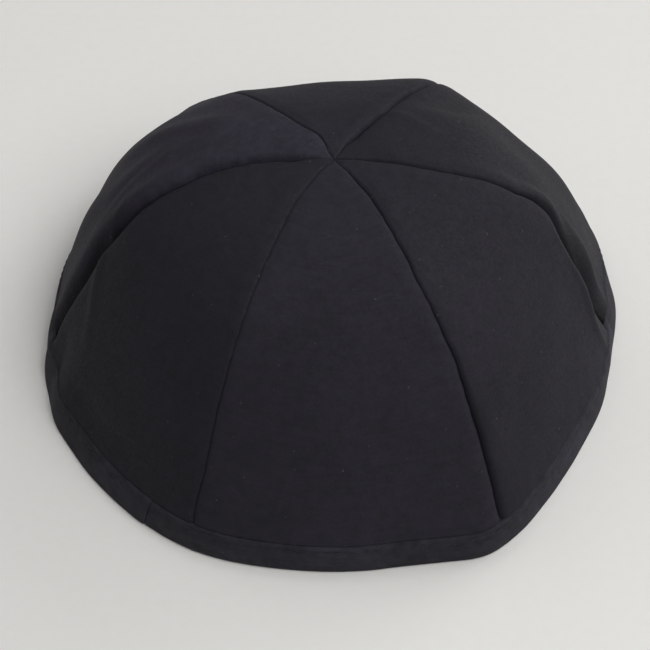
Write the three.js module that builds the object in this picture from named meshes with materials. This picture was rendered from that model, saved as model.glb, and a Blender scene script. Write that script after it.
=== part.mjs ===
// A kippah of six cloth gores on a narrow rim band, lying on its rim.
// Millimetres, +Z up. The floor is z = 0, the side nearest the viewer is -Y, and the origin is
// the middle of the footprint. Azimuths are degrees about the crown, 0 to the front and
// positive towards +X.

import * as THREE from 'three';

// Driving dimensions
const CROWN = new THREE.Vector3(0.5, -0.5, 70); // where the six seams meet
const BAND_HEIGHT = 9.5; // finished height of the rim band
const BAND_THICKNESS = 2.6; // folded band, radially
const CLOTH = 1.8; // wall of a gore
const GAP = 0.3; // clearance between neighbouring pieces
const SEAM_LENGTH = 112; // from the crown to the band along a seam
const TIP_START = 0.008; // where a gore's tip is cut, as a share of the seam
const FACET = 4.3; // length of a facet's side
const CORNER_START = 0.6; // place down the seam where its ridge starts to round off
const CORNER_SPREAD = 0.11; // width of that rounding at the band, as a share of a gore
const CORNER_SHARES = [-1, -0.6, -0.2, 0.2, 0.6, 1];

// One row for each seam and each gore's middle by turns, round the cap from the seam on the
// front left. foot and rim are the radii at the band's top and at the floor. reach is how far
// the crown runs out flat, rise how far the side stands up straight, lean how far it tips
// inwards for each millimetre of rise, and bow how far the line sways sideways.
const LINES = table('name azimuth foot rim reach rise lean bow', [
  ['front_left_seam', -25.8, 85.4, 87.2, 50, 49, 0.50, -1.4],
  ['front', 2, 83.6, 85.0, 46, 46, 0.50, 0],
  ['front_right_seam', 30.8, 88.2, 89.8, 49, 50, 0.52, -0.4],
  ['front_right', 58, 78.6, 81.2, 46, 48, 0.40, 0],
  ['right_seam', 85.8, 79.2, 81.0, 53, 50, 0.44, 0.4],
  ['back_right', 116, 83.6, 86.2, 45, 47, 0.50, 0],
  ['back_right_seam', 150, 89.0, 91.0, 50, 48, 0.56, -2.2],
  ['back', 182, 84.0, 86.0, 38, 38, 0.60, 0],
  ['back_left_seam', 214, 91.5, 93.5, 41, 41, 0.62, -0.6],
  ['back_left', 246, 82.0, 84.8, 45, 48, 0.44, 0],
  ['left_seam', 278.5, 82.4, 84.6, 45, 48, 0.46, -4.0],
  ['front_left', 306, 81.8, 85.4, 46, 48, 0.45, 0],
]);

// The dents, rolls and folds that the limp cloth has taken. at is the place down the seam, from
// 0 at the crown to 1 at the band, turn the angle in degrees to that line, length and width the
// half extents, height the push outwards (inwards if negative), and rim the share of it that
// reaches the foot of the band.
const FOLDS = table('name azimuth at turn length width height rim', [
  ['left_seam_valley', -83.5, 0.84, 0, 20, 3.6, -2.2, 0.2],
  ['right_seam_valley', 88, 0.88, 0, 15, 3.4, -1.8, 0],
  ['back_left_roll', -124, 0.90, 0, 26, 12, 2.4, 1],
  ['left_seam_rise', -85.5, 0.48, 3, 36, 5.5, 1.5, 0],
  ['back_left_fold_low', -104, 0.55, 8, 32, 4.5, 0.5, 0],
  ['back_left_fold_high', -120, 0.50, 8, 28, 5, 1.0, 0],
  ['left_rim_dent', -74, 1.00, 0, 9, 5, -1.6, 0],
  ['left_rim_bulge', -66, 0.98, 0, 12, 7, 1.0, 0.6],
  ['left_rim_hollow', -92, 1.00, 0, 8, 13, -1.3, 1],
  ['back_left_low_roll', -106, 0.84, 0, 12, 8, 1.2, 0],
  ['right_rim_bulge', 70, 1.00, 0, 10, 12, 0.8, 1],
  ['front_right_rim_corner', 27, 1.00, 0, 6, 8, 1.1, 1],
  ['right_seam_rise', 88.8, 0.56, 0, 20, 4.0, 1.3, 0],
  ['back_right_dent', 138, 0.46, 0, 12, 7, -2.0, 0],
  ['back_right_roll', 119, 0.88, 0, 18, 13, 1.6, 0.8],
  ['back_right_flat', 122, 0.58, 0, 14, 10, -0.7, 0],
  ['back_top_roll', 168, 0.50, 0, 16, 18, 0.8, 0],
  ['right_seam_edge', 80, 0.78, 0, 24, 4.5, 0.9, 0],
  ['front_rim_pinch', 13, 1.00, 0, 16, 9, -0.7, 0.8],
]);

// The band's section: inset from its outer wall, and height as a share of the band's height
const BAND_SECTION = table('inset height', [
  [0.5, 0],
  [0, 0.07],
  [-0.25, 0.5],
  [0, 0.93],
  [0.4, 1],
  [BAND_THICKNESS - 0.4, 1],
  [BAND_THICKNESS, 0.93],
  [BAND_THICKNESS, 0.07],
  [BAND_THICKNESS - 0.4, 0],
]);

// Each gore lies between two seams, and is named for the middle line between them
const GORES = [
  'gore_front',
  'gore_front_right',
  'gore_back_right',
  'gore_back',
  'gore_back_left',
  'gore_front_left',
];

const BLACK_POLYESTER = { color: '#27262c', roughness: 0.82, metalness: 0 };
const BAND_POLYESTER = { color: '#26262a', roughness: 0.86, metalness: 0 };
const STEP = 1e-3; // for slopes of the form

function table(columns, rows) {
  const names = columns.split(' ');
  return rows.map((row) => Object.fromEntries(names.map((name, i) => [name, row[i]])));
}

// Blend of three neighbouring lines: a at 0, m at 1/2, b at 1
function across(a, m, b, s) {
  return a * (1 - s) * (1 - 2 * s) + m * 4 * s * (1 - s) + b * s * (2 * s - 1);
}

function acrossPoints(points, s) {
  const [a, m, b] = points;
  return new THREE.Vector3(
    across(a.x, m.x, b.x, s),
    across(a.y, m.y, b.y, s),
    across(a.z, m.z, b.z, s),
  );
}

function bezier(a, b, c, d, t) {
  const u = 1 - t;
  return a * u ** 3 + 3 * b * t * u * u + 3 * c * t * t * u + d * t ** 3;
}

// A point at a radius, a height and a sideways shift from the upright axis through the crown
function around(azimuth, radius, z, sideways = 0) {
  const angle = THREE.MathUtils.degToRad(azimuth);
  return new THREE.Vector3(
    CROWN.x + radius * Math.sin(angle) + sideways * Math.cos(angle),
    CROWN.y - radius * Math.cos(angle) + sideways * Math.sin(angle),
    z,
  );
}

function linePoint(line, t) {
  const radius = bezier(0, line.reach, line.foot - line.lean * line.rise, line.foot, t);
  const z = bezier(CROWN.z, CROWN.z, BAND_HEIGHT + line.rise, BAND_HEIGHT, t);
  const peak = 27 / 4; // makes t (1 - t)^2 reach 1 at its highest
  return around(line.azimuth, radius, z, line.bow * peak * t * (1 - t) ** 2);
}

function linesOf(gore) {
  return [0, 1, 2].map((i) => LINES[(2 * gore + i) % LINES.length]);
}

function azimuthAt(gore, s) {
  const [first, , last] = linesOf(gore);
  const span = (last.azimuth - first.azimuth + 360) % 360;
  return first.azimuth + span * s;
}

function foldHeight(azimuth, radius, t, share) {
  let height = 0;
  for (const fold of FOLDS) {
    const turned = ((azimuth - fold.azimuth + 540) % 360) - 180;
    const u = THREE.MathUtils.degToRad(turned) * radius;
    const v = (t - fold.at) * SEAM_LENGTH;
    const angle = THREE.MathUtils.degToRad(fold.turn);
    const along = v * Math.cos(angle) + u * Math.sin(angle);
    const aside = u * Math.cos(angle) - v * Math.sin(angle);
    const fade = Math.exp(-((along / fold.length) ** 2) - (aside / fold.width) ** 2);
    height += fold.height * fade * share(fold);
  }
  return height;
}

// The form before any fold, at an azimuth counted on from the gore's first seam
function bareCloth(gore, s, t) {
  const step = Math.floor(s);
  const home = (gore + step + GORES.length) % GORES.length;
  return acrossPoints(linesOf(home).map((line) => linePoint(line, t)), s - step);
}

// Averages the form over a stretch that widens towards the band, which rounds its corners
function softened(form, s, t) {
  const spread = CORNER_SPREAD * THREE.MathUtils.smoothstep(t, CORNER_START, 1);
  const sum = new THREE.Vector3();
  for (const share of CORNER_SHARES) {
    sum.add(form(s + share * spread));
  }
  return sum.divideScalar(CORNER_SHARES.length);
}

// Outer face of the cloth: s runs across the gore, t down it
function cloth(gore, s, t) {
  const point = softened((place) => bareCloth(gore, place, t), s, t);
  const heart = new THREE.Vector3(CROWN.x, CROWN.y, BAND_HEIGHT);
  const radius = Math.hypot(point.x - CROWN.x, point.y - CROWN.y);
  const push = foldHeight(azimuthAt(gore, s), radius, t, () => 1);
  const outward = point.clone().sub(heart).normalize();
  return point.addScaledVector(outward, push);
}

function slope(gore, s, t, ds, dt) {
  const ahead = cloth(gore, s + ds, t + dt);
  return ahead.sub(cloth(gore, s - ds, t - dt)).normalize();
}

function normal(gore, s, t) {
  const down = slope(gore, s, t, 0, STEP);
  return down.cross(slope(gore, s, t, STEP, 0)).normalize();
}

// Both gores at a seam share one direction through the cloth, so that their walls stay parallel
function seamNormal(gore, t) {
  const before = (gore + GORES.length - 1) % GORES.length;
  return normal(before, 1, t).add(normal(gore, 0, t)).normalize();
}

// Outer and inner point of the wall, moved off the seam by half the gap at a side edge
function wallPoints(gore, s, t) {
  const outer = cloth(gore, s, t);
  const next = (gore + 1) % GORES.length;
  let through = normal(gore, s, t);
  if (s === 0) through = seamNormal(gore, t);
  if (s === 1) through = seamNormal(next, t);
  if (s === 0 || s === 1) {
    const aside = slope(gore, s, t, 0, STEP).cross(through).normalize();
    outer.addScaledVector(aside, s === 0 ? -GAP / 2 : GAP / 2);
  }
  if (t === 1) through.setZ(0).normalize();
  return { outer, inner: outer.clone().addScaledVector(through, -CLOTH) };
}

// Triangles between two rows of points that may differ in number
function zip(first, second) {
  const triangles = [];
  let i = 0;
  let j = 0;
  while (i < first.length - 1 || j < second.length - 1) {
    const nextFirst = (i + 1) / (first.length - 1 || 1);
    const nextSecond = (j + 1) / (second.length - 1 || 1);
    const moveFirst = j >= second.length - 1 || (i < first.length - 1 && nextFirst <= nextSecond);
    if (moveFirst) {
      triangles.push([first[i], second[j], first[i + 1]]);
      i += 1;
    } else {
      triangles.push([first[i], second[j], second[j + 1]]);
      j += 1;
    }
  }
  return triangles;
}

function closedBody(points, triangles) {
  const geometry = new THREE.BufferGeometry();
  geometry.setAttribute('position', new THREE.Float32BufferAttribute(points.flatMap((p) => p.toArray()), 3));
  geometry.setIndex(triangles.flat());
  geometry.computeVertexNormals();
  return geometry;
}

function goreGeometry(gore) {
  const points = [];
  const skins = { outer: [], inner: [] };
  const rowCount = Math.round(SEAM_LENGTH / FACET);
  for (let row = 0; row <= rowCount; row += 1) {
    const t = TIP_START + ((1 - TIP_START) * row) / rowCount;
    const width = cloth(gore, 0, t).distanceTo(cloth(gore, 1, t));
    const columns = Math.max(1, Math.round(width / FACET));
    const ids = { outer: [], inner: [] };
    for (let column = 0; column <= columns; column += 1) {
      const wall = wallPoints(gore, column / columns, t);
      for (const face of ['outer', 'inner']) {
        ids[face].push(points.length);
        points.push(wall[face]);
      }
    }
    skins.outer.push(ids.outer);
    skins.inner.push(ids.inner);
  }
  const triangles = [];
  for (let row = 0; row < rowCount; row += 1) {
    triangles.push(...zip(skins.outer[row], skins.outer[row + 1]));
    triangles.push(...zip(skins.inner[row], skins.inner[row + 1]).map(turned));
  }
  const edge = (face, end) => skins[face].map((ids) => ids.at(end));
  triangles.push(...zip(edge('inner', 0), edge('outer', 0)).map(turned));
  triangles.push(...zip(edge('inner', -1), edge('outer', -1)));
  triangles.push(...zip(skins.inner[0], skins.outer[0]));
  triangles.push(...zip(skins.inner[rowCount], skins.outer[rowCount]).map(turned));
  return closedBody(points, triangles);
}

function turned([a, b, c]) {
  return [a, c, b];
}

// Outer wall of the band at its foot, on the floor
function rimPoint(gore, s) {
  const point = softened((place) => bareRim(gore, place), s, 1);
  const radius = Math.hypot(point.x - CROWN.x, point.y - CROWN.y);
  const push = foldHeight(azimuthAt(gore, s), radius, 1, (fold) => fold.rim);
  const outward = new THREE.Vector3(point.x - CROWN.x, point.y - CROWN.y, 0).normalize();
  return point.addScaledVector(outward, push);
}

function bareRim(gore, s) {
  const step = Math.floor(s);
  const home = (gore + step + GORES.length) % GORES.length;
  return acrossPoints(linesOf(home).map((line) => around(line.azimuth, line.rim, 0)), s - step);
}

function bandGeometry() {
  const points = [];
  const sections = [];
  for (let gore = 0; gore < GORES.length; gore += 1) {
    const width = rimPoint(gore, 0).distanceTo(rimPoint(gore, 1));
    const columns = Math.round(width / FACET);
    for (let column = 0; column < columns; column += 1) {
      const s = column / columns;
      const foot = rimPoint(gore, s);
      const top = cloth(gore, s, 1);
      const inward = new THREE.Vector3(CROWN.x - foot.x, CROWN.y - foot.y, 0).normalize();
      const ids = BAND_SECTION.map(({ inset, height }) => {
        const point = foot.clone().lerp(top, height).addScaledVector(inward, inset);
        points.push(point.setZ(height * (BAND_HEIGHT - GAP)));
        return points.length - 1;
      });
      sections.push([...ids, ids[0]]);
    }
  }
  const triangles = sections.flatMap((ids, i) => zip(ids, sections[(i + 1) % sections.length]));
  return closedBody(points, triangles);
}

function piece(name, geometry, finish) {
  const mesh = new THREE.Mesh(geometry, new THREE.MeshStandardMaterial(finish));
  mesh.name = name;
  return mesh;
}

const kippah = new THREE.Group();
kippah.name = 'kippah';
GORES.forEach((name, gore) => kippah.add(piece(name, goreGeometry(gore), BLACK_POLYESTER)));
kippah.add(piece('rim_band', bandGeometry(), BAND_POLYESTER));

export default kippah;
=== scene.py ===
"""A black kippah of six sewn gores on a folded rim band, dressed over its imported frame.

The cloth's form is worked out in millimetres, in the frame's own axes: the floor is z = 0, the
side nearest the viewer is -Y, and azimuths are degrees about the crown, 0 to the front and
positive towards +X. Meshes are turned into metres as they are made.
"""

import math
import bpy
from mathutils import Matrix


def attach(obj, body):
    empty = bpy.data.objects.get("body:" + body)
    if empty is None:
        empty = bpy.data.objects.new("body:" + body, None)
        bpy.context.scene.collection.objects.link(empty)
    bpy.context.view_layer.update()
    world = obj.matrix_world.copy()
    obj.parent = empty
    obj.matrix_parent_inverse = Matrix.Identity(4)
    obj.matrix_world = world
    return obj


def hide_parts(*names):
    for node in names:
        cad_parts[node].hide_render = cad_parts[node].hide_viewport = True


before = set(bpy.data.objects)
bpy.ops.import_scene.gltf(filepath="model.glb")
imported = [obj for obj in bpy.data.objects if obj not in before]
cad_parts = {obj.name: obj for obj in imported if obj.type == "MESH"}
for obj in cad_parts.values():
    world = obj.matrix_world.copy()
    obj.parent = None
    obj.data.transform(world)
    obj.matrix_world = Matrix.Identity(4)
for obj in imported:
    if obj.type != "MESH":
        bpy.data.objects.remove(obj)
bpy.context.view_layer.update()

from types import SimpleNamespace

import bpy
import numpy as np
from bpy.props import FloatProperty, FloatVectorProperty, PointerProperty
from mathutils import Vector

bl_info = {
    "name": "Sewn kippah",
    "version": (1, 0, 0),
    "blender": (4, 5, 0),
    "location": "3D View > Sidebar > Kippah",
    "description": "Six cloth gores, a folded rim band and its stitches, with a plain stage",
    "category": "Object",
}

MM = 0.001
BODY = "root"


def table(columns, rows):
    """Rows of values as objects with the named columns."""
    names = columns.split()
    return [SimpleNamespace(**dict(zip(names, row))) for row in rows]


def linear(hex_colour):
    """A linear colour from an sRGB hex value."""
    channels = [int(hex_colour[i : i + 2], 16) / 255 for i in (1, 3, 5)]
    return [c / 12.92 if c <= 0.04045 else ((c + 0.055) / 1.055) ** 2.4 for c in channels]


# The form of the cap, as the frame has it

CROWN = np.array([0.5, -0.5, 70.0])  # where the six seams meet
BAND_HEIGHT = 9.5  # finished height of the rim band
BAND_THICKNESS = 2.6  # folded band, radially
CLOTH = 1.8  # wall of a gore
SEAM_LENGTH = 112  # from the crown to the band along a seam
CORNER_START = 0.6  # place down the seam where its ridge starts to round off
CORNER_SPREAD = 0.11  # width of that rounding at the band, as a share of a gore
CORNER_SHARES = (-1, -0.6, -0.2, 0.2, 0.6, 1)
NORMAL_STEP = 1e-3  # to each side of a place, to find the way out of the cloth
SWAY_PEAK = 27 / 4  # makes t (1 - t)^2 reach 1 at its highest
SWAY_START = 5  # from the crown, until a sewn line may leave its even place
QUICK_RIPPLE = 8.3  # length of a ripple's small waves
SLOW_RIPPLE = 31  # and of the long ones, which also shift the small ones
SLOW_SHARE = 0.4
SLOW_SHIFT = 1.8
SLOW_PHASE = 1.7

# One row for each seam and each gore's middle by turns, round the cap from the seam on the
# front left. foot and rim are the radii at the band's top and at the floor. reach is how far
# the crown runs out flat, rise how far the side stands up straight, lean how far it tips
# inwards for each millimetre of rise, and bow how far the line sways sideways.
LINES = table(
    "name azimuth foot rim reach rise lean bow",
    [
        ("front_left_seam", -25.8, 85.4, 87.2, 50, 49, 0.50, -1.4),
        ("front", 2, 83.6, 85.0, 46, 46, 0.50, 0),
        ("front_right_seam", 30.8, 88.2, 89.8, 49, 50, 0.52, -0.4),
        ("front_right", 58, 78.6, 81.2, 46, 48, 0.40, 0),
        ("right_seam", 85.8, 79.2, 81.0, 53, 50, 0.44, 0.4),
        ("back_right", 116, 83.6, 86.2, 45, 47, 0.50, 0),
        ("back_right_seam", 150, 89.0, 91.0, 50, 48, 0.56, -2.2),
        ("back", 182, 84.0, 86.0, 38, 38, 0.60, 0),
        ("back_left_seam", 214, 91.5, 93.5, 41, 41, 0.62, -0.6),
        ("back_left", 246, 82.0, 84.8, 45, 48, 0.44, 0),
        ("left_seam", 278.5, 82.4, 84.6, 45, 48, 0.46, -4.0),
        ("front_left", 306, 81.8, 85.4, 46, 48, 0.45, 0),
    ],
)

# Where the sewing has pulled a seam off its even line: distance down it and length of the
# stretch, and how far it is shifted sideways
KINKS = table(
    "seam distance length shift",
    [
        ("front_left_seam", 12, 12, -1.45),
        ("front_left_seam", 40, 18, -0.6),
        ("front_left_seam", 54, 22, 1.2),
        ("front_left_seam", 62, 10, -0.3),
        ("front_left_seam", 88, 14, -0.2),
        ("front_left_seam", 109, 6, -0.8),
        ("front_right_seam", 9, 9, 0.5),
        ("front_right_seam", 14, 10, 1.1),
        ("front_right_seam", 24, 8, 0.3),
        ("front_right_seam", 44, 7, -0.65),
        ("front_right_seam", 59, 12, -1.1),
        ("front_right_seam", 82, 9, -0.4),
        ("front_right_seam", 105, 10, 0.5),
        ("right_seam", 10, 8, 0.5),
        ("right_seam", 30, 12, -0.5),
        ("right_seam", 52, 6, -1.0),
        ("right_seam", 62, 13, 1.7),
        ("right_seam", 70, 6, 1.4),
        ("right_seam", 87, 5, -0.6),
        ("right_seam", 104, 6, -3.2),
        ("back_right_seam", 6, 5, 0.7),
        ("back_right_seam", 14, 8, 0.9),
        ("back_right_seam", 32, 9, 0.9),
        ("back_left_seam", 9, 5, -1.9),
        ("back_left_seam", 15, 5, -0.4),
        ("back_left_seam", 30, 9, 0.35),
        ("left_seam", 17, 10, -1.3),
        ("left_seam", 31, 9, -0.6),
        ("left_seam", 42, 6, 0.4),
        ("left_seam", 64, 9, -0.75),
        ("left_seam", 83, 9, -1.4),
        ("left_seam", 104, 10, -2.4),
    ],
)
HAND_WANDER = 0.12  # sideways, the small unevenness of a sewn line

# How the cloth turns down into each seam: half the width and the depth of its rolled edges near
# the crown and, as low, near the band, then the depth and width of the softer dip on both sides.
# Deep in the lower half of the two side seams, shade is painted into the cloth's colour and shine
# where its shadow falls: pressed says how much, start how far down the seam it sets in, and before
# and after how far it reaches into the gores on its two sides.
SEAMS = table(
    "seam roll depth low dip spread pressed start before after",
    [
        ("front_left_seam", 1.2, 0.50, 0.65, 0.20, 2.4, 0, 0, 1, 1),
        ("front_right_seam", 1.2, 0.85, 1.80, 0.30, 2.2, 0, 0, 1, 1),
        ("right_seam", 1.3, 1.10, 3.00, 0.50, 2.4, 1.0, 54, 0.8, 6.0),
        ("back_right_seam", 1.8, 1.80, 1.80, 0.80, 3.0, 0, 0, 1, 1),
        ("back_left_seam", 1.0, 0.65, 0.80, 0.20, 2.4, 0, 0, 1, 1),
        ("left_seam", 1.9, 2.00, 3.20, 1.40, 3.4, 1.0, 45, 6.0, 3.2),
    ],
)
SEAM_SHADE_RUN = 42  # length over which the painted seam shade sets in

# The dents, rolls and folds that the limp cloth has taken. at is the place down the seam, from
# 0 at the crown to 1 at the band, turn the angle in degrees to that line, length and width the
# half extents, height the push outwards (inwards if negative), and rim the share of it that
# reaches the foot of the band (turned the other way if negative).
FOLD_COLUMNS = "name azimuth at turn length width height rim"
FOLDS = table(
    FOLD_COLUMNS,
    [
        ("left_seam_valley", -83.5, 0.84, 0, 20, 3.6, -2.2, 0.2),
        ("right_seam_valley", 88, 0.88, 0, 15, 3.4, -1.8, 0),
        ("back_left_roll", -124, 0.90, 0, 26, 12, 2.4, 1),
        ("left_seam_rise", -85.5, 0.48, 3, 36, 5.5, 1.5, 0),
        ("back_left_fold_low", -104, 0.55, 8, 32, 4.5, 0.5, 0),
        ("back_left_fold_high", -120, 0.50, 8, 28, 5, 1.0, 0),
        ("left_rim_dent", -74, 1.00, 0, 9, 5, -1.6, 0),
        ("left_rim_bulge", -66, 0.98, 0, 12, 7, 1.0, 0.6),
        ("left_rim_hollow", -92, 1.00, 0, 8, 13, -1.3, 1),
        ("back_left_low_roll", -106, 0.84, 0, 12, 8, 1.2, 0),
        ("right_rim_bulge", 70, 1.00, 0, 10, 12, 0.8, 1),
        ("front_right_rim_corner", 27, 1.00, 0, 6, 8, 1.1, 1),
        ("right_seam_rise", 88.8, 0.56, 0, 20, 4.0, 1.3, 0),
        ("back_right_dent", 138, 0.46, 0, 12, 7, -2.0, 0),
        ("back_right_roll", 119, 0.88, 0, 18, 13, 1.6, 0.8),
        ("back_right_flat", 122, 0.58, 0, 14, 10, -0.7, 0),
        ("back_top_roll", 168, 0.50, 0, 16, 18, 0.8, 0),
        ("right_seam_edge", 80, 0.78, 0, 24, 4.5, 0.9, 0),
        ("front_rim_pinch", 13, 1.00, 0, 16, 9, -0.7, 0.8),
    ],
)

# Finer creases, which only the finished surface has
CREASES = table(
    FOLD_COLUMNS,
    [
        ("left_tuck", -75.5, 0.745, 40, 16, 2.2, 0.7, 0),
        ("left_seam_hollow", -83, 0.84, 0, 16, 3.0, -1.6, 0),
        ("back_left_streak", -101, 0.56, 23, 16, 2.6, -0.35, 0),
        ("back_left_ridge", -95.5, 0.62, 20, 14, 2.4, 0.25, 0),
        ("front_left_hem_dip", -54, 0.96, 0, 4, 24, -0.7, 0),
        ("right_seam_ridge", 80.9, 0.83, -6, 18, 1.8, 0.9, 0),
        ("back_right_ridge", 93.2, 0.86, -4, 16, 2.6, 0.8, 0),
        ("back_right_streak", 131, 0.238, -58, 9, 2.2, 0.5, 0),
        ("back_right_hollow", 142, 0.34, -25, 11, 4.5, -0.9, 0),
        ("right_rim_flare", 97, 1.00, 0, 10, 12, -1.6, -0.5),
        ("back_left_rim_flare", -122, 1.00, 0, 9, 16, -2.2, -0.4),
    ],
)

# tone is painted light and shade: each gore's colour made lighter or darker for how light falls on it
GORES = table(
    "name tone",
    [
        ("front", 1.07),
        ("front_right", 0.85),
        ("back_right", 0.70),
        ("back", 0.93),
        ("back_left", 1.56),
        ("front_left", 0.76),
    ],
)


def smoothstep(value, low, high):
    """A soft step from 0 at low to 1 at high."""
    share = np.clip((value - low) / (high - low), 0, 1)
    return share * share * (3 - 2 * share)


def bezier(a, b, c, d, t):
    """A cubic curve from a to d, drawn towards b and c."""
    u = 1 - t
    return a * u**3 + 3 * b * t * u**2 + 3 * c * t**2 * u + d * t**3


def ripple(distance, phase):
    """An uneven run of small waves along a line, about -1 to 1."""
    slow = np.sin(distance * (math.tau / SLOW_RIPPLE) + phase * SLOW_PHASE)
    quick = np.sin(distance * (math.tau / QUICK_RIPPLE) + SLOW_SHIFT * slow + phase)
    return (1 - SLOW_SHARE) * quick + SLOW_SHARE * slow


def around(azimuth, radius, height, sideways=0.0):
    """Points at a radius, a height and a sideways shift from the upright axis of the crown."""
    angle = math.radians(azimuth)
    x = CROWN[0] + radius * math.sin(angle) + sideways * math.cos(angle)
    y = CROWN[1] - radius * math.cos(angle) + sideways * math.sin(angle)
    return np.stack(np.broadcast_arrays(x, y, height), axis=-1)


def line_points(line, down):
    """The points of one line of the cap. down runs from 0 at the crown to 1 at the band."""
    radius = bezier(0, line.reach, line.foot - line.lean * line.rise, line.foot, down)
    height = bezier(CROWN[2], CROWN[2], BAND_HEIGHT + line.rise, BAND_HEIGHT, down)
    sway = line.bow * SWAY_PEAK * down * (1 - down) ** 2
    distance = down * SEAM_LENGTH
    if line.name.endswith("seam"):
        pulled = HAND_WANDER * ripple(distance, line.azimuth)
        for kink in KINKS:
            if kink.seam == line.name:
                pulled = pulled + kink.shift * np.exp(-(((distance - kink.distance) / kink.length) ** 2))
        sway = sway + pulled * smoothstep(distance, 0, SWAY_START)
    return around(line.azimuth, radius, height, sway)


def rim_points(line, down):
    """Where one line meets the floor, for every value of down."""
    return around(line.azimuth, line.rim, np.zeros_like(down))


def blend_lines(place, down, points_of):
    """The surface between the lines. place runs round the cap, one whole number a gore."""
    place = np.mod(place, len(GORES))
    home = np.floor(place).astype(int)
    points = np.empty(place.shape + (3,))
    for gore in range(len(GORES)):
        here = home == gore
        if not here.any():
            continue
        lines = [LINES[(2 * gore + i) % len(LINES)] for i in range(3)]
        first, middle, last = (points_of(line, down[here]) for line in lines)
        share = (place[here] - gore)[:, None]
        points[here] = (
            first * (1 - share) * (1 - 2 * share)
            + middle * 4 * share * (1 - share)
            + last * share * (2 * share - 1)
        )
    return points


def softened(place, down, points_of):
    """The blend averaged over a stretch that widens towards the band, which rounds corners."""
    spread = CORNER_SPREAD * smoothstep(down, CORNER_START, 1)
    shifted = [blend_lines(place + share * spread, down, points_of) for share in CORNER_SHARES]
    return sum(shifted) / len(shifted)


def azimuth_at(place):
    """The azimuth of a place round the cap."""
    seams = [line.azimuth for line in LINES[::2]]
    return np.interp(np.mod(place, len(GORES)), range(len(GORES) + 1), [*seams, seams[0] + 360])


def fold_push(place, radius, down, folds):
    """How far the folds push the cloth outwards."""
    push = np.zeros_like(radius)
    for fold in folds:
        turned = np.mod(azimuth_at(place) - fold.azimuth + 180, 360) - 180
        aside = np.radians(turned) * radius
        along = (down - fold.at) * SEAM_LENGTH
        cos, sin = math.cos(math.radians(fold.turn)), math.sin(math.radians(fold.turn))
        u = (along * cos + aside * sin) / fold.length
        v = (aside * cos - along * sin) / fold.width
        push += fold.height * np.exp(-(u**2) - v**2)
    return push


def from_axis(points):
    """How far points lie from the upright axis of the crown."""
    return np.hypot(points[..., 0] - CROWN[0], points[..., 1] - CROWN[1])


def unit(vectors):
    """The same directions with length 1."""
    return vectors / np.maximum(np.linalg.norm(vectors, axis=-1, keepdims=True), 1e-9)


def cloth_points(place, down):
    """Outer face of the cloth with its folds, before seams and puckers."""
    points = softened(place, down, line_points)
    push = fold_push(place, from_axis(points), down, FOLDS + CREASES)
    heart = np.array([CROWN[0], CROWN[1], BAND_HEIGHT])
    return points + unit(points - heart) * push[..., None]


def cloth_normals(place, down):
    """The way out of the cloth. At a seam it lies midway between the two gores' own."""
    down = np.maximum(down, 2 * NORMAL_STEP)
    across = cloth_points(place + NORMAL_STEP, down) - cloth_points(place - NORMAL_STEP, down)
    lower = cloth_points(place, np.minimum(down + NORMAL_STEP, 1))
    along = lower - cloth_points(place, down - NORMAL_STEP)
    return unit(np.cross(along, across))


# Small unevenness of limp cloth

WAVES = 28
WAVE_SEED = 7
LONGEST_WAVE = 46
SHORTEST_WAVE = 17


def unevenness(points):
    """A smooth random field over space, about -1 to 1, from plane waves of many directions."""
    random = np.random.default_rng(WAVE_SEED)
    field = np.zeros(points.shape[:-1])
    for _ in range(WAVES):
        direction = unit(random.normal(size=3))
        wavelength = random.uniform(SHORTEST_WAVE, LONGEST_WAVE)
        phase = random.uniform(0, math.tau)
        field += np.sin(points @ direction * (math.tau / wavelength) + phase)
    return field / math.sqrt(WAVES)


def sunk(distance, width, depth):
    """How deep a soft edge lies below the face at a distance from its line."""
    left = np.clip(1 - distance / width, 0, 1)
    return depth * 0.5 * (left**2 + 1 - np.sqrt(1 - left**2))


def rolled(distance, width, depth):
    """How deep a rolled edge lies below the face at a distance from its line."""
    left = np.clip(1 - distance / width, 0, 1)
    return depth * (1 - np.sqrt(1 - left**2))


# Meshes

COLUMNS = 96  # between the rolled edges of a gore
ROLL_COLUMNS = 8
ROW_STEP = 0.62  # between rows, in the open cloth
CROWN_STEP = 0.16  # between rows at the crown
ROW_GROWTH = 1.16
ROLL_ROWS = 8
ROLL_ROW_REACH = 1.6  # over which they stand close at the foot, in rolls of its edge
ROW_SAMPLES = 600  # down a gore, to measure it
SAMPLES = 65  # across a gore, to measure it
EDGE_CROWDING = 0.35  # how much closer the columns stand towards the seams
NARROW_SHARE = 0.45  # of a narrow gore's width, the most that one rolled edge takes
SHARP_ANGLE = 60  # degrees, above which an edge isn't shaded smooth


def quarter_circle(radius, count):
    """Distances that follow a quarter circle from its steep end."""
    return radius * (1 - np.cos(np.linspace(0, math.pi / 2, count)))


def row_places(foot_roll):
    """Places of a gore's rows down the cloth, close together at the crown and the foot."""
    fine = np.linspace(0, 1, ROW_SAMPLES)
    path = line_points(LINES[1], fine)
    travelled = np.concatenate([[0], np.cumsum(np.linalg.norm(np.diff(path, axis=0), axis=1))])
    distances = [CROWN_STEP]
    step = CROWN_STEP
    while distances[-1] < travelled[-1] - 2 * foot_roll:
        step = min(step * ROW_GROWTH, ROW_STEP)
        distances.append(distances[-1] + step)
    foot = travelled[-1] - quarter_circle(ROLL_ROW_REACH * foot_roll, ROLL_ROWS)[::-1]
    return np.interp([*distances[:-1], *foot], travelled, fine)


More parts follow.
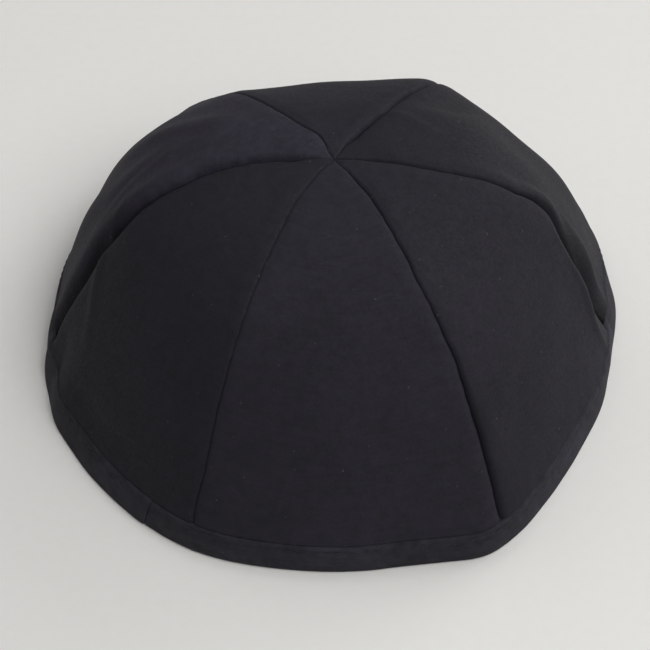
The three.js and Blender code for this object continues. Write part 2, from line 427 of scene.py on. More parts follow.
def column_places(gore, rows, rolls):
    """Places across the gore for each row, with those of the rolled edges close together."""
    samples = np.linspace(0, 1, SAMPLES)
    place, down = np.meshgrid(gore + samples, rows)
    points = cloth_points(place, down)
    steps = np.linalg.norm(np.diff(points, axis=1), axis=2)
    travelled = np.concatenate([np.zeros((len(rows), 1)), np.cumsum(steps, axis=1)], axis=1)
    places = []
    distances = []
    for run in travelled:
        width = run[-1]
        first, last = (rolled_edge(roll, width) for roll in rolls)
        even = np.linspace(0, 1, COLUMNS + 2)[1:-1]
        crowded = 0.5 - 0.5 * np.cos(math.pi * even) * EDGE_CROWDING
        inside = crowded - 0.5 * (1 - 2 * even) * (1 - EDGE_CROWDING)
        open_width = width - first[-1] - last[-1]
        run_places = [*first, *(first[-1] + inside * open_width), *(width - last[::-1])]
        distances.append(run_places)
        places.append(np.interp(run_places, run, samples))
    return gore + np.array(places), np.array(distances), travelled[:, -1:]


def rolled_edge(roll, width):
    """Distances from the seam over a rolled edge, or nearly half of a narrow gore."""
    turned = math.acos(max(1 - width * NARROW_SHARE / roll, 0))
    return roll * (1 - np.cos(np.linspace(0, turned, ROLL_COLUMNS)))


def grid_faces(first, rows, columns, flipped=False):
    """Quads of a grid whose vertices are numbered row by row from first."""
    ids = first + np.arange(rows * columns).reshape(rows, columns)
    corners = [ids[:-1, :-1], ids[1:, :-1], ids[1:, 1:], ids[:-1, 1:]]
    if flipped:
        corners.reverse()
    return np.stack(corners, axis=-1).reshape(-1, 4)


def ring_faces(ids):
    """Quads between neighbours in rows of vertex numbers."""
    corners = [ids[..., :-1, :-1], ids[..., :-1, 1:], ids[..., 1:, 1:], ids[..., 1:, :-1]]
    return np.stack(corners, axis=-1).reshape(-1, 4)


def strip_faces(first, second):
    """Quads between two runs of vertex numbers."""
    first, second = np.asarray(first), np.asarray(second)
    return np.stack([first[:-1], second[:-1], second[1:], first[1:]], axis=-1)


def make_piece(name, points, faces, uv, material, node=None, slot=None):
    """A smooth mesh in metres that rides on the cap, with its cloth's own map in millimetres."""
    mesh = bpy.data.meshes.new(name)
    mesh.from_pydata((points * MM).tolist(), [], [list(face) for face in faces])
    mesh.validate()
    layer = mesh.uv_layers.new(name=CLOTH_MAP)
    corner_vertices = np.empty(len(mesh.loops), dtype=np.int32)
    mesh.loops.foreach_get("vertex_index", corner_vertices)
    layer.uv.foreach_set("vector", uv[corner_vertices].astype(np.float32).ravel())
    mesh.shade_smooth()
    mesh.set_sharp_from_angle(angle=math.radians(SHARP_ANGLE))
    mesh.materials.append(material)
    piece = bpy.data.objects.new(name, mesh)
    bpy.context.scene.collection.objects.link(piece)
    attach(piece, BODY)
    if node:
        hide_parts(node)
    return piece


CLOTH_MAP = "cloth_mm"
# the share of painted seam shade on each point of a gore
PAINTED_SEAM_SHADE = "pressed_nap"
CROWN_ROLL = 0.9  # half width of the rolled edges where the six seams meet
CROWN_DEPTH = 0.4
AT_CROWN = {"roll": CROWN_ROLL, "depth": CROWN_DEPTH, "low": CROWN_DEPTH, "dip": 0}
CROWN_RUN = (2, 12)  # from the crown, where the edges turn from these to the seam's own
DEEPENING = (0.4, 0.8)  # places down a seam between which it takes on its low depth
LEVEL_REACH = 3  # up from the foot, where the cloth's way out turns level, in foot rolls
SHARED_REACH = 2.5  # from a seam, where both gores go its way, in rolls of its edge
OPEN_REACH = 2  # from a seam and the foot, where the open cloth starts, in their rolls
NARROW = (2, 14)  # widths of a gore between which swellings and dips set in
PUFF_FADE = 6  # up from the foot, until they have their full height
DIP_FADE = 4
UNEVEN_FADE = 8
ROLL_GROWTH = 0.5  # how far the rolled edges widen as they deepen down the seam
PUFF_PLACE = 3.2  # from the seam to the top of the swelling beside it
PUFF_WIDTH = 2.4
PUCKER_REACH = 5.5  # how far from the seam the puckers die out
PUCKER_RUN = (2, 20)  # from the crown, where they set in
PUCKER_PHASE = 2.1  # from one seam to the next
GATHER_SHIFT = 40  # between one gore's gathers at the foot and the next one's
GATHER_PHASE = 0.7
TURNING = 6.0  # width of the seam allowance pressed open inside
TURNING_EDGE = 1.5  # over which its thickness runs out
SEAM_WALL = 0.6  # cloth left under a seam that lies deeper than the wall is thick
MAP_SPACING = 200  # between one gore's map and the next, so that no two show the same specks


def gore_mesh(gore, sizes):
    """Points, faces, map and painted seam shade of one gore: a closed wall with two faces."""
    foot_roll = sizes.band_roll / MM
    seams = [SEAMS[gore], SEAMS[(gore + 1) % len(GORES)]]
    rows = row_places(foot_roll)
    place, across, width = column_places(gore, rows, [seam.roll for seam in seams])
    down = np.broadcast_to(rows[:, None], place.shape)
    base = cloth_points(place, down)
    out = cloth_normals(place, down)
    from_seam = np.minimum(across, width - across)
    steps = np.linalg.norm(np.diff(base, axis=0), axis=2)
    from_foot = np.concatenate([np.cumsum(steps[::-1], axis=0)[::-1], np.zeros((1, base.shape[1]))])
    from_crown = np.cumsum(np.linalg.norm(np.diff(base, axis=0, prepend=base[:1]), axis=2), axis=0)

    level = unit(out * [1, 1, 0])
    nearness = 1 - smoothstep(from_foot, 0, LEVEL_REACH * foot_roll)
    out_at_foot = unit(out * (1 - nearness[..., None]) + level * nearness[..., None])
    left, right = out_at_foot[:, :1], out_at_foot[:, -1:]
    by_first = across < width / 2
    shared = np.where(by_first[..., None], left, right)

    def nearer(first, second=None):
        """A value of the seam that a point lies nearer to."""
        return np.where(by_first, getattr(seams[0], first), getattr(seams[1], second or first))

    at_crown = 1 - smoothstep(from_crown, *CROWN_RUN)
    roll, depth, low_depth, dip = (
        nearer(part) * (1 - at_crown) + crown_value * at_crown
        for part, crown_value in AT_CROWN.items()
    )
    growth = (low_depth / depth - 1) * smoothstep(down, *DEEPENING)
    roll, depth = roll * (1 + ROLL_GROWTH * growth), depth * (1 + growth)
    # the share of painted shade, deep in the lower half of the side seams
    start = nearer("start")
    pressed = nearer("pressed") * smoothstep(from_crown, start, start + SEAM_SHADE_RUN)
    pressed = pressed * np.exp(-((from_seam / nearer("after", "before")) ** 2))
    own = smoothstep(from_seam / roll, 0, SHARED_REACH)[..., None]
    out = unit(shared * (1 - own) + out_at_foot * own)

    open_cloth = smoothstep(from_seam / roll, 0, OPEN_REACH)
    open_cloth = open_cloth * smoothstep(from_foot, 0, OPEN_REACH * foot_roll)
    swelling = np.exp(-(((from_seam - PUFF_PLACE) / PUFF_WIDTH) ** 2))
    swelling *= smoothstep(width, *NARROW) * smoothstep(from_foot, 0, PUFF_FADE)
    side = np.where(by_first, gore, gore + 1)
    puckers = ripple(from_crown, PUCKER_PHASE * side) * np.exp(-from_seam / PUCKER_REACH)
    puckers *= smoothstep(from_crown, *PUCKER_RUN)
    gathers = ripple(across + GATHER_SHIFT * gore, GATHER_PHASE) * np.exp(-from_foot / PUCKER_REACH)
    relief = sizes.seam_puff / MM * swelling
    relief += open_cloth * sizes.puckers / MM * (puckers + gathers)
    relief += sizes.unevenness / MM * unevenness(base) * smoothstep(from_foot, 0, UNEVEN_FADE)
    by_seam = sunk(from_seam, roll, depth)
    by_foot = rolled(from_foot, foot_roll, foot_roll)
    depth = by_seam + by_foot - by_seam * by_foot / np.maximum(depth, foot_roll)
    relief_at_seam = np.where(by_first, relief[:, :1], relief[:, -1:])
    relief = relief_at_seam * (1 - own[..., 0]) + relief * own[..., 0]
    dip = dip * smoothstep(width, *NARROW) * smoothstep(from_foot, 0, DIP_FADE)
    relief -= dip * np.exp(-((from_seam / nearer("spread")) ** 2))
    outer = base + out * (relief - depth)[..., None]

    turnings = sizes.turnings / MM * (1 - smoothstep(from_seam, TURNING - TURNING_EDGE, TURNING))
    wall = np.maximum(CLOTH + turnings, depth + SEAM_WALL)
    inner = base - out * (wall - relief)[..., None]
    points = np.concatenate([outer.reshape(-1, 3), inner.reshape(-1, 3)])
    top, under = np.arange(len(points)).reshape(2, *place.shape)
    tips = [len(points), len(points) + 1]
    crown_sink = [[0, 0, -CROWN_DEPTH], [0, 0, -CLOTH]]
    points = np.concatenate([points, CROWN + np.array(crown_sink)])
    quads = np.concatenate([
        grid_faces(0, *place.shape),
        grid_faces(under[0, 0], *place.shape, flipped=True),
        strip_faces(under[:, 0], top[:, 0])[:, ::-1],
        strip_faces(under[:, -1], top[:, -1]),
        strip_faces(under[-1], top[-1])[:, ::-1],
    ])
    fans = [[tips[0], a, b] for a, b in zip(top[0], top[0, 1:])]
    fans += [[tips[1], b, a] for a, b in zip(under[0], under[0, 1:])]
    sides = [[tips[1], under[0, 0], top[0, 0], tips[0]], [tips[0], top[0, -1], under[0, -1], tips[1]]]
    faces = quads.tolist() + fans + sides
    uv = np.stack([across - width / 2 + gore * MAP_SPACING, from_crown], axis=-1).reshape(-1, 2)
    tip_uv = [[gore * MAP_SPACING, 0]] * 2
    # nap carries the painted seam shade of the outer face; the inner face and the tips get none
    nap = np.concatenate([pressed.ravel(), np.zeros(len(points) - pressed.size)])
    return points, faces, np.concatenate([uv, uv, tip_uv]), nap


BAND_STEP = 0.75  # between sections of the band
JOIN_AZIMUTH = -35  # where the strip's two ends meet
JOIN_ROLL = 0.45
JOIN_SLANT = 0.16  # sideways for each millimetre down the band
SLANT_REACH = 5  # along the band, how far the slant is felt
JOIN_STEP = 0.25  # how far the upper end lies above the other
JOIN_EDGE = 0.3  # over which it rises
LAP_RUN = (3, 14)  # from the join, where the upper end sinks to the band's own face
JOIN_REACH = 1.4  # to each side, where the sections stand close
JOIN_SECTIONS = 9
JOIN_CLEAR = 1.6  # to each side, where no even section stands
STITCH_DEPTH = 1.5  # from the band's top edge down to its stitch line
STITCH_LINE = 0.35  # half width of the groove that the stitches pull
FACE_BULGE = 0.25
HEM_ROLL = 1.1  # radius of the fold at the foot of the band
FACING_EDGE = 0.4
TOP_POINTS, FACE_POINTS, HEM_POINTS, WALL_POINTS, EDGE_POINTS = 9, 30, 8, 10, 5
OUTSIDE_EDGE = -0.5  # offset from which the band's outside has its full relief
WAVE_FOOT = 2  # up from the floor, until the face's waves have their full height
WAVE_TOP = 1.2  # down from the top edge, until they have it
WAVE_PACE = 0.55  # how often they come, beside the puckers
WAVE_SLANT = 0.35
WAVE_PHASE = 0.4
BAND_SAMPLES = 2401  # round the cap, to measure the band


def band_wall(place, height, offset):
    """Points on the band's outer wall, at a height and an offset outwards from the frame's."""
    ones = np.ones_like(place)
    top = cloth_points(place, ones)
    foot = softened(place, ones, rim_points)
    rim_folds = [
        SimpleNamespace(**{**vars(fold), "height": fold.height * fold.rim}) for fold in FOLDS + CREASES
    ]
    push = fold_push(place, from_axis(foot), ones, rim_folds)
    foot = foot + unit((foot - CROWN) * [1, 1, 0]) * push[..., None]
    share = np.clip(height / BAND_HEIGHT, 0, 1)[..., None]
    wall = foot * (1 - share) + top * share
    points = wall + band_out(place) * offset[..., None]
    points[..., 2] = height
    return points


def band_out(place):
    """The level way out of the band."""
    return unit(cloth_normals(place, np.ones_like(place)) * [1, 1, 0])


def arc(centre, radius, start, end, count):
    """Points of an arc as offset and height. Angles are degrees, 0 outwards and 90 up."""
    angles = np.radians(np.linspace(start, end, count))
    return np.stack([centre[0] + radius * np.cos(angles), centre[1] + radius * np.sin(angles)], axis=-1)


def band_section(sizes):
    """The band's section from the seam at its top, down its face, under it and up inside."""
    roll, proud = sizes.band_roll / MM, sizes.band_proud / MM
    groove = sizes.stitch_groove / MM
    top = arc((-roll, BAND_HEIGHT - roll), roll, 90, 0, TOP_POINTS)
    top[:, 0] += proud * np.linspace(0, 1, len(top))
    heights = np.linspace(BAND_HEIGHT - roll, HEM_ROLL, FACE_POINTS)[1:-1]
    share = (BAND_HEIGHT - roll - heights) / (BAND_HEIGHT - roll - HEM_ROLL)
    bulge = FACE_BULGE * np.sin(math.pi * share) + proud * (1 - share)
    from_stitches = heights - (BAND_HEIGHT - STITCH_DEPTH)
    pulled_in = groove * np.exp(-((from_stitches / STITCH_LINE) ** 2))
    face = np.stack([bulge - pulled_in, heights], axis=-1)
    hem = arc((-HEM_ROLL, HEM_ROLL), HEM_ROLL, 0, -90, HEM_POINTS)
    inner_hem = arc((HEM_ROLL - BAND_THICKNESS, HEM_ROLL), HEM_ROLL, -90, -180, HEM_POINTS)
    facing_centre = (FACING_EDGE - BAND_THICKNESS, BAND_HEIGHT - FACING_EDGE)
    facing = arc(facing_centre, FACING_EDGE, 180, 90, EDGE_POINTS)
    inner_heights = np.linspace(HEM_ROLL, BAND_HEIGHT - FACING_EDGE, WALL_POINTS)[1:-1]
    wall = np.stack([np.full_like(inner_heights, -BAND_THICKNESS), inner_heights], axis=-1)
    return np.concatenate([top, face, hem, inner_hem, wall, facing])


def band_travel():
    """Places round the cap, and the distance travelled to each at the band's top edge."""
    places = np.linspace(0, len(GORES), BAND_SAMPLES)
    points = cloth_points(places, np.ones_like(places))
    steps = np.linalg.norm(np.diff(points, axis=0), axis=1)
    return places, np.concatenate([[0], np.cumsum(steps)])


def place_of_azimuth(azimuth):
    """The place round the cap that lies at an azimuth."""
    fine = np.linspace(0, len(GORES), BAND_SAMPLES - 1, endpoint=False)
    away = np.abs(np.mod(azimuth_at(fine) - azimuth + 180, 360) - 180)
    return fine[np.argmin(away)]


def band_mesh(sizes):
    """Points, faces and map of the rim band, a closed ring."""
    fine, travelled = band_travel()
    join = np.interp(place_of_azimuth(JOIN_AZIMUTH), fine, travelled)
    count = round(travelled[-1] / BAND_STEP)
    even = np.linspace(0, travelled[-1], count, endpoint=False)
    even = even[np.abs(even - join) > JOIN_CLEAR]
    beside = quarter_circle(JOIN_REACH, JOIN_SECTIONS)
    close = np.concatenate([-beside[::-1], beside[1:]])
    runs = np.sort(np.concatenate([even, join + close]))
    places = np.interp(runs, travelled, fine)
    section = band_section(sizes)
    place, offset = np.meshgrid(places, section[:, 0], indexing="ij")
    run = np.broadcast_to(runs[:, None], place.shape)
    height = np.broadcast_to(section[:, 1], place.shape).copy()
    slant = JOIN_SLANT * (BAND_HEIGHT - height) * np.exp(-(((run - join) / SLANT_REACH) ** 2))
    place = np.interp(run - slant, travelled, fine)
    outside = smoothstep(offset, -BAND_THICKNESS, OUTSIDE_EDGE)
    below_top = 1 - smoothstep(height, BAND_HEIGHT - WAVE_TOP, BAND_HEIGHT)
    face = outside * smoothstep(height, 0, WAVE_FOOT) * below_top
    waves = sizes.band_waves / MM * ripple(run * WAVE_PACE + WAVE_SLANT * height, WAVE_PHASE) * face
    at_join = rolled(np.abs(run - join), JOIN_ROLL, JOIN_ROLL) * outside
    lapped = JOIN_STEP * outside * smoothstep(join - run, 0, JOIN_EDGE)
    lapped = lapped * (1 - smoothstep(join - run, *LAP_RUN))
    points = band_wall(place, height, offset + waves + lapped - at_join)
    ids = np.arange(place.size).reshape(place.shape)
    ids = np.vstack([ids, ids[:1]])
    ids = np.hstack([ids, ids[:, :1]])
    faces = ring_faces(ids)
    steps = np.linalg.norm(np.diff(section, axis=0, prepend=section[:1]), axis=1)
    uv = np.stack(np.broadcast_arrays(run, np.cumsum(steps)), axis=-1).reshape(-1, 2)
    return points.reshape(-1, 3), faces.tolist(), uv


STITCH_RINGS = 7
STITCH_SIDES = 6
STITCH_RISE = 1.5  # of the thread's radius, how far a stitch arches out of the cloth
STITCH_BITE = 0.9  # of the thread's radius, how deep its ends start
ARCH_POWER = 0.5
TAPER = 2.2  # how soon a stitch is as thick as the thread
LEAST_TAPER = 0.25


def stitch_mesh(sizes):
    """Points, faces and map of the row of stitches below the band's top edge."""
    fine, travelled = band_travel()
    pitch = (sizes.stitch_length + sizes.stitch_gap) / MM
    count = round(travelled[-1] / pitch)
    pitch = travelled[-1] / count
    along = np.linspace(0, 1, STITCH_RINGS)
    starts = np.arange(count)[:, None] * pitch
    runs = starts + along * (sizes.stitch_length / MM)
    places = np.interp(runs, travelled, fine)
    radius = sizes.thread_diameter / MM / 2
    groove = sizes.stitch_groove / MM
    arch = np.sin(math.pi * along) ** ARCH_POWER
    heights = np.full_like(places, BAND_HEIGHT - STITCH_DEPTH)
    roll, proud = sizes.band_roll / MM, sizes.band_proud / MM
    share = (STITCH_DEPTH - roll) / (BAND_HEIGHT - roll - HEM_ROLL)
    face = FACE_BULGE * math.sin(math.pi * share) + proud * (1 - share) - groove
    offset = face + radius * (STITCH_RISE * arch - STITCH_BITE)
    centres = band_wall(places, heights, np.broadcast_to(offset, places.shape))
    out = band_out(places)
    up = np.array([0, 0, 1.0])
    angles = np.linspace(0, math.tau, STITCH_SIDES, endpoint=False)
    taper = np.clip(np.sin(math.pi * along) * TAPER, LEAST_TAPER, 1)[None, :, None, None]
    ring = np.cos(angles)[:, None] * out[:, :, None, :] + np.sin(angles)[:, None] * up
    points = centres[:, :, None, :] + radius * taper * ring
    ids = np.arange(count * STITCH_RINGS * STITCH_SIDES).reshape(count, STITCH_RINGS, STITCH_SIDES)
    ids = np.concatenate([ids, ids[:, :, :1]], axis=2)
    faces = ring_faces(ids)[:, ::-1].tolist()
    faces += ids[:, 0, :-1].tolist()
    faces += ids[:, -1, :-1][:, ::-1].tolist()
    uv = np.stack(np.broadcast_arrays(runs[:, :, None], angles * radius), axis=-1).reshape(-1, 2)
    return points.reshape(-1, 3), faces, uv


# Materials

THREAD_PITCH = 0.62  # the real cloth has a thread every 0.25 mm, too fine for the picture to show
THREAD_DRIFT = 2.4  # how far the threads wander off their even places, so that no stripes show
LINT_SPACING = 11  # one speck in each square of this side, in millimetres
LINT_CORE, LINT_EDGE = 0.008, 0.024  # a speck's radius, as shares of that side
NAP_SIZE, TUFT_SIZE, PATCH_SIZE = 0.9, 2.6, 24  # of the nap, its tufts and its uneven patches
SLUB_LENGTH, SLUB_WIDTH = 16, 0.9  # of the thicker stretches of thread
TUFT_SHARE, PATCH_SHARE, SLUB_SHARE = 1.2, 0.8, 0.4  # of the shade, beside 1 for the nap
SEAM_SHADE_KEEPS = 0.1  # of its colour and its shine, what the cloth keeps under the painted seam shade
HAIR_HEIGHT = 0.12


def add(tree, kind, inputs=None, **settings):
    """Adds a node with its settings. An input that is given a socket is linked, any other set."""
    node = tree.nodes.new(kind)
    for name, value in settings.items():
        setattr(node, name, value)
    for socket, value in (inputs or {}).items():
        if isinstance(value, bpy.types.NodeSocket):
            tree.links.new(value, node.inputs[socket])
        else:
            node.inputs[socket].default_value = value
    return node


def new_material(name, **constants):
    """A material with one Principled shader whose even values are set on its own sockets."""
    material = bpy.data.materials.new(name)
    material.use_nodes = True
    tree = material.node_tree
    shader = tree.nodes["Principled BSDF"]
    for socket, value in constants.items():
        shader.inputs[socket.replace("_", " ")].default_value = value
    return material, tree, shader


def four(colour, gain=1.0):
    """A colour with its alpha, lighter or darker by a gain."""
    return (*(channel * gain for channel in colour[:3]), 1.0)


def woven_cloth(name, colour, lint, weave_depth, patchiness):
    """Plain-woven polyester, piece dyed: a dull near-black without shine, a fine weave, a slightly
    hairy nap that takes the light unevenly, and a few specks of lint. Light and shade are painted
    into it too: each gore's colour is made lighter or darker by its tone, and the lower side seams
    are darkened in colour and shine."""
    material, tree, shader = new_material(name, IOR=1.5, Specular_IOR_Level=0.3)

    cloth_map = add(tree, "ShaderNodeUVMap", uv_map=CLOTH_MAP).outputs["UV"]
    space = add(tree, "ShaderNodeTexCoord").outputs["Object"]
    bends = add(tree, "ShaderNodeTexNoise", {"Vector": cloth_map, "Scale": 0.5, "Detail": 3.0},
                noise_dimensions="2D").outputs["Color"]
    laid = add(tree, "ShaderNodeVectorMath", {0: bends, 1: [THREAD_DRIFT] * 3, 2: cloth_map},
               operation="MULTIPLY_ADD").outputs[0]
    threads = add(tree, "ShaderNodeVectorMath", {0: laid, 1: [math.pi / THREAD_PITCH] * 3},
                  operation="MULTIPLY").outputs[0]
    split = add(tree, "ShaderNodeSeparateXYZ", {0: threads})
    warp = add(tree, "ShaderNodeMath", {0: split.outputs["X"]}, operation="SINE").outputs[0]
    weft = add(tree, "ShaderNodeMath", {0: split.outputs["Y"]}, operation="SINE").outputs[0]
    weave = add(tree, "ShaderNodeMath", {0: warp, 1: weft}, operation="MULTIPLY").outputs[0]

    nap, tufts = (
        add(tree, "ShaderNodeTexNoise", {"Vector": space, "Scale": 1 / (grain_size * MM), "Detail": 2.0,
                                         "Roughness": 0.6}).outputs["Fac"]
        for grain_size in (NAP_SIZE, TUFT_SIZE)
    )
    patches = add(tree, "ShaderNodeTexNoise", {"Vector": space, "Scale": 1 / (PATCH_SIZE * MM),
                                               "Detail": 4.0}).outputs["Fac"]
    drawn = add(tree, "ShaderNodeVectorMath", {0: cloth_map, 1: (1 / SLUB_LENGTH, 1 / SLUB_WIDTH, 1)},
                operation="MULTIPLY").outputs[0]
    slubs = add(tree, "ShaderNodeTexNoise", {"Vector": drawn, "Scale": 1.0, "Detail": 1.0},
                noise_dimensions="2D").outputs["Fac"]
    shade = nap
    for layer, share in ((tufts, TUFT_SHARE), (patches, PATCH_SHARE), (slubs, SLUB_SHARE)):
        shade = add(tree, "ShaderNodeMath", {0: layer, 1: share, 2: shade},
                    operation="MULTIPLY_ADD").outputs[0]
    tone = add(tree, "ShaderNodeMapRange", {"Value": shade, "From Min": 1.15, "From Max": 2.25,
                                            "To Min": 0.0, "To Max": 1.0}).outputs[0]
    body = add(tree, "ShaderNodeMix", {0: tone, 6: four(colour, 1 - patchiness),
                                       7: four(colour, 1 + patchiness)}, data_type="RGBA").outputs[2]
    # Painted light and shade: each gore's colour is scaled by its tone, lighter or darker for how the light
    # falls on it.
    gore_light_shade = add(tree, "ShaderNodeObjectInfo").outputs["Color"]
    body = add(tree, "ShaderNodeVectorMath", {0: body, 1: gore_light_shade}, operation="MULTIPLY").outputs[0]
    # Painted shade: deep in the side seams the colour and the shine are darkened to stand for the shadow
    # there.
    pressed = add(tree, "ShaderNodeAttribute", attribute_name=PAINTED_SEAM_SHADE).outputs["Fac"]
    body = add(tree, "ShaderNodeMix", {0: pressed, 6: body, 7: four(colour, SEAM_SHADE_KEEPS)},
               data_type="RGBA").outputs[2]
    shine = add(tree, "ShaderNodeMix", {0: pressed, 6: (1, 1, 1, 1), 7: (*[SEAM_SHADE_KEEPS] * 3, 1)},
                data_type="RGBA").outputs[2]
    tree.links.new(shine, shader.inputs["Specular Tint"])

    ragged = add(tree, "ShaderNodeTexNoise", {"Vector": cloth_map, "Scale": 1.6}).outputs["Color"]
    moved = add(tree, "ShaderNodeVectorMath", {0: ragged, 1: [1.1] * 3, 2: cloth_map},
                operation="MULTIPLY_ADD").outputs[0]
    specks = add(tree, "ShaderNodeTexVoronoi", {"Vector": moved, "Scale": 1 / LINT_SPACING},
                 voronoi_dimensions="2D")
    near = add(tree, "ShaderNodeMapRange", {"Value": specks.outputs["Distance"], "From Min": LINT_CORE,
                                            "From Max": LINT_EDGE, "To Min": 1.0, "To Max": 0.0}).outputs[0]
    size = add(tree, "ShaderNodeSeparateColor", {0: specks.outputs["Color"]}).outputs[0]
    close = add(tree, "ShaderNodeMath", {0: near, 1: size}, operation="MULTIPLY").outputs[0]
    finished = add(tree, "ShaderNodeMix", {0: close, 6: body, 7: four(lint)}, data_type="RGBA").outputs[2]
    tree.links.new(finished, shader.inputs["Base Color"])

    dull = add(tree, "ShaderNodeMapRange", {"Value": nap, "From Min": 0.3, "From Max": 0.7,
                                            "To Min": 0.72, "To Max": 0.92}).outputs[0]
    tree.links.new(dull, shader.inputs["Roughness"])
    hairs = add(tree, "ShaderNodeBump", {"Height": nap, "Strength": 0.5, "Distance": HAIR_HEIGHT * MM})
    woven = add(tree, "ShaderNodeBump", {"Height": weave, "Strength": 1.0, "Distance": weave_depth,
                                         "Normal": hairs.outputs[0]})
    tree.links.new(woven.outputs[0], shader.inputs["Normal"])
    return material


def sewing_thread(name, colour):
    """Spun polyester thread, two plies twisted: a little glossier than the cloth, with the twist
    seen as fine slanting ridges."""
    material, tree, shader = new_material(name, Roughness=0.6)
    cloth_map = add(tree, "ShaderNodeUVMap", uv_map=CLOTH_MAP).outputs["UV"]
    twist = add(tree, "ShaderNodeTexWave", {"Vector": cloth_map, "Scale": 1.0, "Distortion": 0.6},
                bands_direction="DIAGONAL").outputs["Fac"]
    body = add(tree, "ShaderNodeMix", {0: twist, 6: four(colour, 0.8), 7: four(colour, 1.3)},
               data_type="RGBA").outputs[2]
    tree.links.new(body, shader.inputs["Base Color"])
    bump = add(tree, "ShaderNodeBump", {"Height": twist, "Strength": 0.6, "Distance": 0.05 * MM})
    tree.links.new(bump.outputs[0], shader.inputs["Normal"])
    return material


def matt_board(name, colour):
    """Painted fibreboard, rolled: pale and quite matt, with a faint orange-peel unevenness."""
    material, tree, shader = new_material(name, Roughness=0.85)
    space = add(tree, "ShaderNodeTexCoord").outputs["Object"]
    peel = add(tree, "ShaderNodeTexNoise", {"Vector": space, "Scale": 1 / (3 * MM), "Detail": 2.0})
    tone = add(tree, "ShaderNodeMix", {0: peel.outputs["Fac"], 6: four(colour, 0.98), 7: four(colour, 1.02)},
               data_type="RGBA").outputs[2]
    tree.links.new(tone, shader.inputs["Base Color"])
    bump = add(tree, "ShaderNodeBump", {"Height": peel.outputs["Fac"], "Strength": 0.1, "Distance": 0.1 * MM})
    tree.links.new(bump.outputs[0], shader.inputs["Normal"])
    return material


# What a user would change


def length(name, description, millimetres):
    """A length property, given in millimetres and kept in metres."""
    return FloatProperty(name=name, description=description, default=millimetres * MM, min=0,
                         unit="LENGTH", precision=5)


def colour(name, description, hex_colour):
    """A colour property, given as an sRGB hex value."""
    return FloatVectorProperty(name=name, description=description, subtype="COLOR",
                               default=linear(hex_colour), min=0, max=1)


class KippahSizes(bpy.types.PropertyGroup):
    """Sizes of the sewing and of the cloth's small relief."""

    seam_puff: length("Seam puff", "Height of the swelling beside each seam", 0.08)
    puckers: length("Puckers", "Height of the small waves along the seams", 0.12)
    unevenness: length("Unevenness", "Height of the limp cloth's slow waves", 0.22)
    turnings: length("Turnings", "Thickness of the seam allowance pressed open inside", 0.4)
    band_roll: length("Band roll", "Radius of the rolled edges at the band's seam", 0.6)
    band_proud: length("Band stands proud", "How far the band's top edge stands out", 0.35)
    band_waves: length("Band waves", "Height of the band's small waves", 0.18)
    stitch_length: length("Stitch length", "Visible length of one stitch", 2.1)
    stitch_gap: length("Stitch gap", "Gap between two stitches", 0.45)
    stitch_groove: length("Stitch groove", "How deep the stitches pull the band in", 0.12)
    thread_diameter: length("Thread diameter", "Diameter of the sewing thread", 0.22)


class KippahColours(bpy.types.PropertyGroup):
    """Colours of the cloth, the thread and the stage."""

    gores: colour("Gores", "Dyed cloth of the gores", "#1d1b24")
    band: colour("Band", "Dyed cloth of the band", "#23222a")
    thread: colour("Thread", "Sewing thread", "#18181b")
    lint: colour("Lint", "Specks of lint on the cloth", "#4a4a50")
    floor: colour("Floor", "Floor under the cap", "#e4e3e0")


class KIPPAH_OT_gores(bpy.types.Operator):
    """Cut and sew the six gores of the cap"""

    bl_idname = "kippah.gores"
    bl_label = "Sew the gores"

    def execute(self, context):
        sizes, colours = context.scene.kippah_sizes, context.scene.kippah_colours
        cloth = woven_cloth("Woven polyester, piece dyed", colours.gores, colours.lint, 0.012 * MM, 0.42)
        for number, gore in enumerate(GORES):
            points, faces, uv, nap = gore_mesh(number, sizes)
            piece = make_piece(f"cloth_{gore.name}", points, faces, uv, cloth, f"gore_{gore.name}",
                               "gore_cloth")
            # painted light and shade: the gore's tone, which the cloth's shader multiplies into its colour
            piece.color = (gore.tone, gore.tone, gore.tone, 1)
            # the painted seam shade, kept on each point for the cloth's shader
            piece.data.attributes.new(PAINTED_SEAM_SHADE, "FLOAT", "POINT").data.foreach_set("value", nap)
        return {"FINISHED"}


class KIPPAH_OT_band(bpy.types.Operator):
    """Fold the rim band and sew it on"""

    bl_idname = "kippah.band"
    bl_label = "Fold the rim band"

    def execute(self, context):
        sizes, colours = context.scene.kippah_sizes, context.scene.kippah_colours
        cloth = woven_cloth("Woven polyester binding, folded and pressed", colours.band, colours.lint,
                            0.02 * MM, 0.8)
        make_piece("cloth_band", *band_mesh(sizes), cloth, "rim_band", "band_cloth")
        return {"FINISHED"}


class KIPPAH_OT_stitches(bpy.types.Operator):
    """Run the row of stitches round the band"""

    bl_idname = "kippah.stitches"
    bl_label = "Stitch the band"

    def execute(self, context):
        sizes, colours = context.scene.kippah_sizes, context.scene.kippah_colours
        thread = sewing_thread("Spun polyester thread, dyed", colours.thread)
        make_piece("band_stitches", *stitch_mesh(sizes), thread)
        return {"FINISHED"}


# Where the camera stands, and its lens for a picture as wide as it is high
CAMERA_PLACE = Vector((-1.9, -400.5, 448.0)) * MM
CAMERA_LOOKS_DOWN = 48  # degrees below the horizon
LENS = 114.3
FLOOR_SIDE = 6.0
SKY_COLOUR, SKY_STRENGTH = (0.75, 0.78, 0.82, 1), 0.005

# Soft lights: the way they stand from the cap, and their power
LIGHTS = table(
    "name azimuth elevation power",
    [
        ("front_right", 45, 55, 15.4),
        ("right", 90, 55, 6.0),
        ("back_right", 135, 25, 10.2),
        ("back_left", 225, 55, 5.5),
        ("left", 270, 25, 2.1),
        ("front", 0, 25, 1.2),
    ],
)
LIGHT_DISTANCE, LIGHT_SIDE = 1.6, 1.2


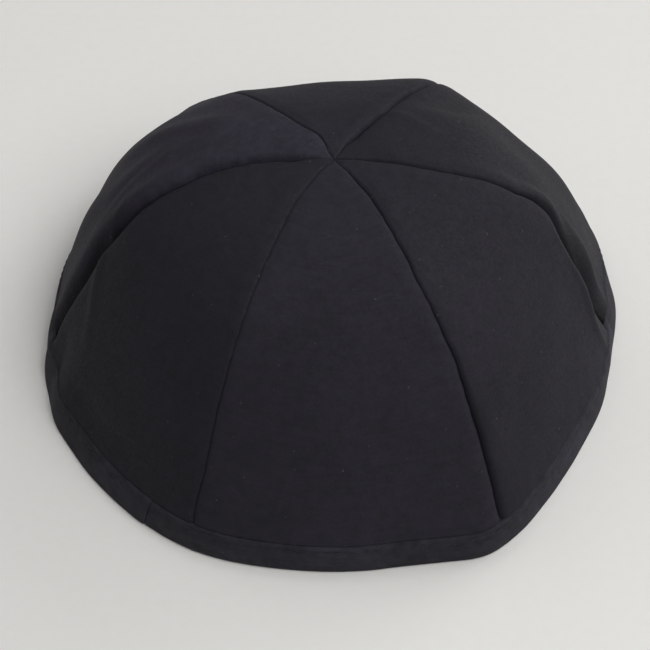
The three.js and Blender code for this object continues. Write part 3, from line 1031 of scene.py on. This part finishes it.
def pointing(direction):
    """The turn of a lamp or a camera that points in a direction."""
    return direction.to_track_quat("-Z", "Y").to_euler()


def make_light(row):
    """A square soft light that points at the cap."""
    light = bpy.data.lights.new(row.name, "AREA")
    light.shape = "SQUARE"
    light.size = LIGHT_SIDE
    light.energy = row.power
    lamp = bpy.data.objects.new(row.name, light)
    turn, rise = math.radians(row.azimuth), math.radians(row.elevation)
    way = Vector((math.sin(turn) * math.cos(rise), -math.cos(turn) * math.cos(rise), math.sin(rise)))
    lamp.location = way * LIGHT_DISTANCE
    lamp.rotation_euler = pointing(-way)
    bpy.context.scene.collection.objects.link(lamp)


class KIPPAH_OT_stage(bpy.types.Operator):
    """Set the floor, the lights and the camera"""

    bl_idname = "kippah.stage"
    bl_label = "Set the stage"

    def execute(self, context):
        scene = context.scene
        mesh = bpy.data.meshes.new("floor")
        half = FLOOR_SIDE / 2
        corners = [(-half, -half, 0), (half, -half, 0), (half, half, 0), (-half, half, 0)]
        mesh.from_pydata(corners, [], [(0, 1, 2, 3)])
        mesh.materials.append(matt_board("Painted board, matt", scene.kippah_colours.floor))
        floor = bpy.data.objects.new("floor", mesh)
        scene.collection.objects.link(floor)
        for row in LIGHTS:
            make_light(row)
        world = bpy.data.worlds.new("studio")
        world.use_nodes = True
        background = world.node_tree.nodes["Background"]
        background.inputs["Color"].default_value = SKY_COLOUR
        background.inputs["Strength"].default_value = SKY_STRENGTH
        scene.world = world
        scene.view_settings.view_transform = "Standard"
        lens = bpy.data.cameras.new("camera")
        lens.lens = LENS
        camera = bpy.data.objects.new("camera", lens)
        camera.location = CAMERA_PLACE
        tilt = math.radians(CAMERA_LOOKS_DOWN)
        camera.rotation_euler = pointing(Vector((0, math.cos(tilt), -math.sin(tilt))))
        scene.collection.objects.link(camera)
        scene.camera = camera
        return {"FINISHED"}


class KIPPAH_PT_panel(bpy.types.Panel):
    """Lists the steps in which the cap is made"""

    bl_idname = "KIPPAH_PT_panel"
    bl_label = "Kippah"
    bl_space_type = "VIEW_3D"
    bl_region_type = "UI"
    bl_category = "Kippah"

    def draw(self, context):
        for group in (context.scene.kippah_sizes, context.scene.kippah_colours):
            box = self.layout.box()
            for name in group.__annotations__:
                box.prop(group, name)
        for step in STEPS:
            self.layout.operator(step.bl_idname)


STEPS = (KIPPAH_OT_gores, KIPPAH_OT_band, KIPPAH_OT_stitches, KIPPAH_OT_stage)
CLASSES = (KippahSizes, KippahColours, *STEPS, KIPPAH_PT_panel)


def register():
    for kind in CLASSES:
        bpy.utils.register_class(kind)
    bpy.types.Scene.kippah_sizes = PointerProperty(type=KippahSizes)
    bpy.types.Scene.kippah_colours = PointerProperty(type=KippahColours)


def unregister():
    del bpy.types.Scene.kippah_colours
    del bpy.types.Scene.kippah_sizes
    for kind in reversed(CLASSES):
        bpy.utils.unregister_class(kind)


def main():
    register()
    bpy.ops.kippah.gores()
    bpy.ops.kippah.band()
    bpy.ops.kippah.stitches()
    bpy.ops.kippah.stage()


if __name__ == "__main__":
    main()
